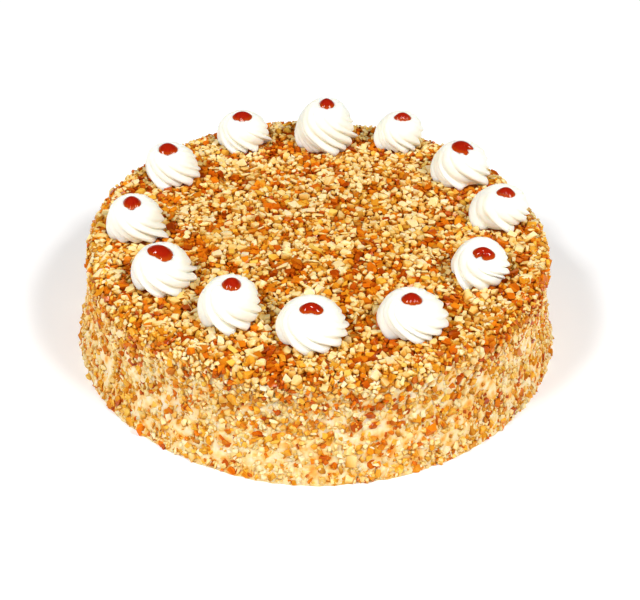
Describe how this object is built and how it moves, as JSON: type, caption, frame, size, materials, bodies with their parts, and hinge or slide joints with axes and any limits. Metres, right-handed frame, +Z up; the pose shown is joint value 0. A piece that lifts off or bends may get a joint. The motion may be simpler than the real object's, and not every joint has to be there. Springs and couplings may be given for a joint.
{
  "type": "butterscotch cake",
  "caption": "Low round torte coated all over in chopped nuts and butterscotch brittle, with piped cream swirls tipped with red jelly around its top.",
  "frame": {"origin": "middle of the flat underside", "axes": "+Z up, the cake's low height; the picture looks at it from the -Y side"},
  "size_m": [0.2699, 0.2702, 0.0902],
  "materials": {
    "crunch": "coat of chopped toasted nuts and glossy butterscotch brittle pressed into cream",
    "cream": "smooth piped whipped cream with a soft satin sheen",
    "jelly": "wet, glossy, slightly clear red jelly"
  },
  "bodies": {
    "root": {"cake_body": "crunch", "cream_swirl_01": "cream", "cream_swirl_02": "cream", "cream_swirl_03": "cream", "cream_swirl_04": "cream", "cream_swirl_05": "cream", "cream_swirl_06": "cream", "cream_swirl_07": "cream", "cream_swirl_08": "cream", "cream_swirl_09": "cream", "cream_swirl_10": "cream", "cream_swirl_11": "cream", "cream_swirl_12": "cream", "jelly_blob_01": "jelly", "jelly_blob_02": "jelly", "jelly_blob_03": "jelly", "jelly_blob_04": "jelly", "jelly_blob_05": "jelly", "jelly_blob_06": "jelly", "jelly_blob_07": "jelly", "jelly_blob_08": "jelly", "jelly_blob_09": "jelly", "jelly_blob_10": "jelly", "jelly_blob_11": "jelly", "jelly_blob_12": "jelly"}
  },
  "joints": []
}
